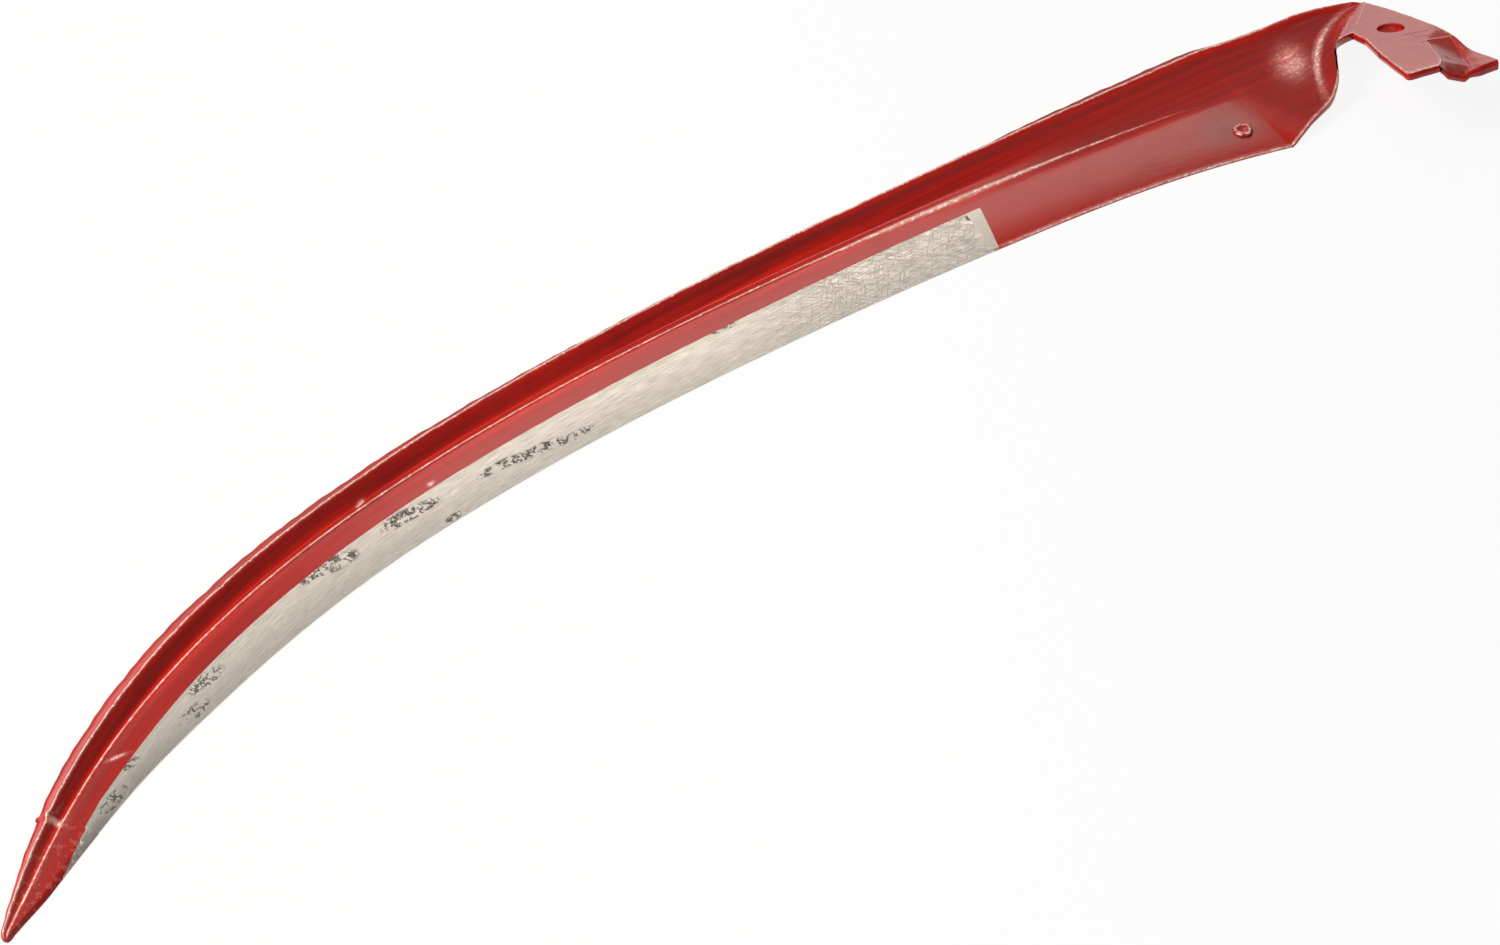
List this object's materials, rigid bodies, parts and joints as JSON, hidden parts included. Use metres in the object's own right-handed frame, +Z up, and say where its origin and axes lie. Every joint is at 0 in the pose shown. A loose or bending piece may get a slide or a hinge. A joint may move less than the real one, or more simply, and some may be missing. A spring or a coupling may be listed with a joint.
{
  "type": "scythe blade",
  "caption": "Curved scythe blade of red painted steel with a folded back rib, a bare ground edge, a raised drilled tang and a pressed knob at its end.",
  "frame": {"origin": "under the middle of the blade's box, on the surface that the blade lies on", "axes": "+X along the blade from its point to its heel, +Y across it towards the rib on its back, +Z up from the surface it lies on"},
  "size_m": [0.689, 0.1384, 0.0356],
  "materials": {
    "red_paint": "glossy brushed-on red enamel over steel, streaked, with drips and small chips",
    "tang_paint": "thin glossy red enamel over steel, rubbed along the tang, with tool scratches",
    "bare_steel": "bare ground steel with fine lengthwise grinding lines and dark scale spots"
  },
  "bodies": {
    "root": {"blade_point": "red_paint", "back_rib": "red_paint", "fuller": "red_paint", "stiffening_ridge": "red_paint", "web": "red_paint", "cutting_edge": "bare_steel", "beard": "red_paint", "heel": "red_paint", "neck": "red_paint", "tang": "tang_paint", "tang_knob": "tang_paint", "heel_rivet": "red_paint"}
  },
  "joints": []
}
